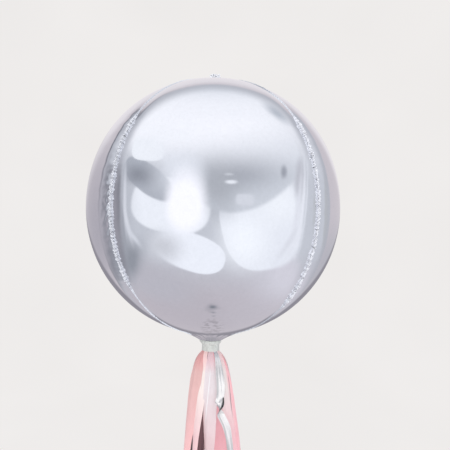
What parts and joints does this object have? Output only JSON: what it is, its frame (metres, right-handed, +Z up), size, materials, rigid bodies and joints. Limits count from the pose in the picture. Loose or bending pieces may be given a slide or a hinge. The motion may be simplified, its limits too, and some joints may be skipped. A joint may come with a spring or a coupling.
{
  "type": "round foil balloon with tassel",
  "caption": "Round silver foil balloon welded from foil gores with crinkled seams, and a tissue and foil tassel that swings under its neck.",
  "frame": {"origin": "centre of the envelope, at the height of its widest circle", "axes": "+Z up along the balloon's own axis from the neck to the crown; -Y is the pictured side, with one gore between two seams; +X to its right"},
  "size_m": [0.399, 0.399, 0.7718],
  "materials": {
    "foil": "mirror-bright metallised film",
    "weld": "crinkled metallised film, welded",
    "wrap": "milky translucent film",
    "white_tissue": "satin tissue",
    "pink_tissue": "satin tissue",
    "silver_strip": "bright metallised film"
  },
  "bodies": {
    "envelope": {"gore_front": "foil", "gore_right": "foil", "gore_back": "foil", "gore_left": "foil", "seam_front_right": "weld", "seam_back_right": "weld", "seam_back_left": "weld", "seam_front_left": "weld", "crown_tab": "weld"},
    "neck": {"neck": "foil"},
    "tassel": {"neck_wrap": "wrap", "tail": "foil", "strip_outer_white_1": "white_tissue", "strip_outer_silver_2": "silver_strip", "strip_outer_pink_3": "pink_tissue", "strip_outer_white_4": "white_tissue", "strip_outer_pink_5": "pink_tissue", "strip_outer_silver_6": "silver_strip", "strip_outer_pink_7": "pink_tissue", "strip_outer_white_8": "white_tissue", "strip_outer_pink_9": "pink_tissue", "strip_outer_white_10": "white_tissue", "strip_middle_pink_1": "pink_tissue", "strip_middle_silver_2": "silver_strip", "strip_middle_white_3": "white_tissue", "strip_middle_silver_4": "silver_strip", "strip_middle_white_5": "white_tissue", "strip_middle_pink_6": "pink_tissue", "strip_middle_silver_7": "silver_strip", "strip_middle_silver_8": "silver_strip", "strip_inner_pink_1": "pink_tissue", "strip_inner_white_2": "white_tissue", "strip_inner_pink_3": "pink_tissue", "strip_inner_silver_4": "silver_strip", "strip_inner_pink_5": "pink_tissue", "strip_inner_white_6": "white_tissue"}
  },
  "joints": [
    {"name": "tassel_nod", "type": "hinge", "parent": "envelope", "child": "neck", "pos_m": [0, 0, -0.207], "axis": [1, 0, 0], "range_deg": [-20, 20]},
    {"name": "tassel_sway", "type": "hinge", "parent": "neck", "child": "tassel", "pos_m": [0, 0, -0.207], "axis": [0, 1, 0], "range_deg": [-20, 20]}
  ]
}
